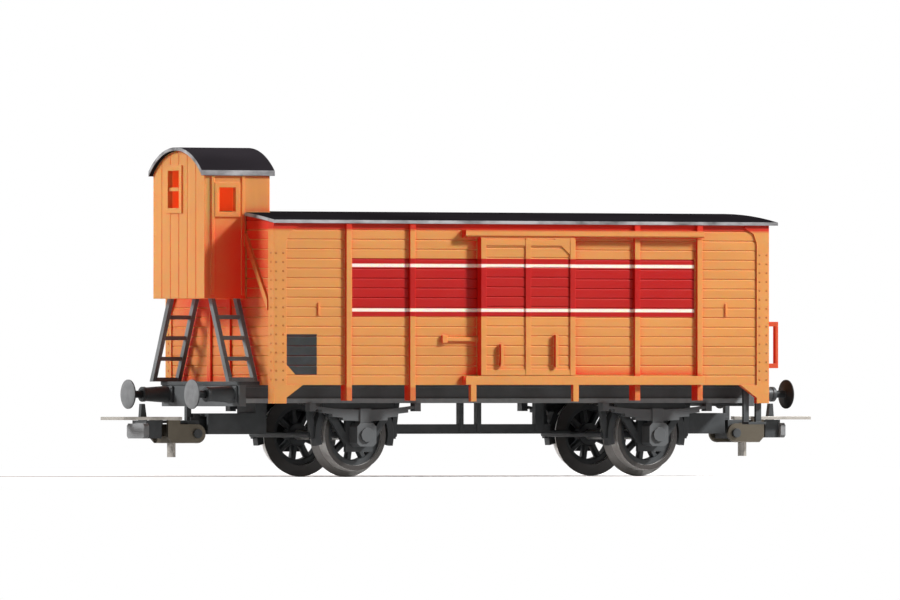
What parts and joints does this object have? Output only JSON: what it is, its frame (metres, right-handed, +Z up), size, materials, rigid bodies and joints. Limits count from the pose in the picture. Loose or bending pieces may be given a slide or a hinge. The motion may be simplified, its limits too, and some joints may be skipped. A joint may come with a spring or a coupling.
{
  "type": "model railway covered goods wagon with brakeman's cab",
  "caption": "Small-scale two-axle covered goods wagon with sliding side doors, arched roof, raised brakeman's cab, ladders, buffers and loop couplings; rolls on flanged spoked wheels.",
  "frame": {"origin": "on the floor under the wheel flanges, midway between the buffer faces", "axes": "+X along the track towards the plain end, cab at -X, +Z up, door rails seen first at -Y"},
  "size_m": [0.1272, 0.0374, 0.0519],
  "materials": {
    "body_orange": "semi-matt moulded plastic with a painted red band",
    "roof_anthracite": "matt moulded plastic, pale at the edges",
    "frame_dark": "satin moulded plastic",
    "buffer_grey": "matt",
    "wheel_metal": "turned and darkened",
    "loop_metal": "stamped sheet, tarnished"
  },
  "bodies": {
    "wagon": {"side_wall_near": "body_orange", "side_wall_far": "body_orange", "stanchions": "body_orange", "end_wall_cab": "body_orange", "end_wall_plain": "body_orange", "end_posts": "body_orange", "corner_plates": "body_orange", "door_rails_near": "body_orange", "door_rails_far": "body_orange", "end_handrails": "body_orange", "cab_end_wall": "body_orange", "cab_side_near": "body_orange", "cab_side_far": "body_orange", "cab_rear_wall": "body_orange", "cab_floor": "body_orange", "wagon_roof": "roof_anthracite", "cab_roof": "roof_anthracite", "floor_plate": "frame_dark", "sole_bars": "frame_dark", "buffer_beams": "frame_dark", "platform_deck": "frame_dark", "axle_guards": "frame_dark", "axle_boxes": "frame_dark", "leaf_springs": "frame_dark", "brake_shoes": "frame_dark", "brake_pull_bar": "frame_dark", "buffer_sleeves": "frame_dark", "coupler_pockets": "frame_dark", "corner_steps": "frame_dark", "ladder_near": "frame_dark", "ladder_far": "frame_dark", "buffer_heads": "buffer_grey"},
    "wheelset_cab_end": {"axle_cab_end": "wheel_metal", "wheel_centres_cab_end": "frame_dark", "tyres_cab_end": "wheel_metal"},
    "wheelset_plain_end": {"axle_plain_end": "wheel_metal", "wheel_centres_plain_end": "frame_dark", "tyres_plain_end": "wheel_metal"},
    "near_door": {"door_near": "body_orange"},
    "far_door": {"door_far": "body_orange"},
    "cab_end_coupler": {"coupler_head_cab_end": "frame_dark"},
    "plain_end_coupler": {"coupler_head_plain_end": "frame_dark"},
    "cab_end_loop": {"coupler_loop_cab_end": "loop_metal"},
    "plain_end_loop": {"coupler_loop_plain_end": "loop_metal"}
  },
  "joints": [
    {"name": "wheelset_cab_end_spin", "type": "hinge", "parent": "wagon", "child": "wheelset_cab_end", "pos_m": [-0.02515, 0, 0.00665], "axis": [0, 1, 0], "continuous": true},
    {"name": "wheelset_plain_end_spin", "type": "hinge", "parent": "wagon", "child": "wheelset_plain_end", "pos_m": [0.02885, 0, 0.00665], "axis": [0, 1, 0], "continuous": true},
    {"name": "near_door_slide", "type": "slide", "parent": "wagon", "child": "near_door", "axis": [1, 0, 0], "range_m": [0, 0.0175]},
    {"name": "far_door_slide", "type": "slide", "parent": "wagon", "child": "far_door", "axis": [-1, 0, 0], "range_m": [0, 0.0175]},
    {"name": "cab_end_coupler_swing", "type": "hinge", "parent": "wagon", "child": "cab_end_coupler", "pos_m": [-0.04, 0, 0.0084], "axis": [0, 0, 1], "range_deg": [-9, 9]},
    {"name": "cab_end_loop_lift", "type": "hinge", "parent": "cab_end_coupler", "child": "cab_end_loop", "pos_m": [-0.04985, 0, 0.00685], "axis": [0, 1, 0], "range_deg": [0, 20]},
    {"name": "plain_end_coupler_swing", "type": "hinge", "parent": "wagon", "child": "plain_end_coupler", "pos_m": [0.04, 0, 0.0084], "axis": [0, 0, 1], "range_deg": [-9, 9]},
    {"name": "plain_end_loop_lift", "type": "hinge", "parent": "plain_end_coupler", "child": "plain_end_loop", "pos_m": [0.04985, 0, 0.00685], "axis": [0, -1, 0], "range_deg": [0, 20]}
  ]
}
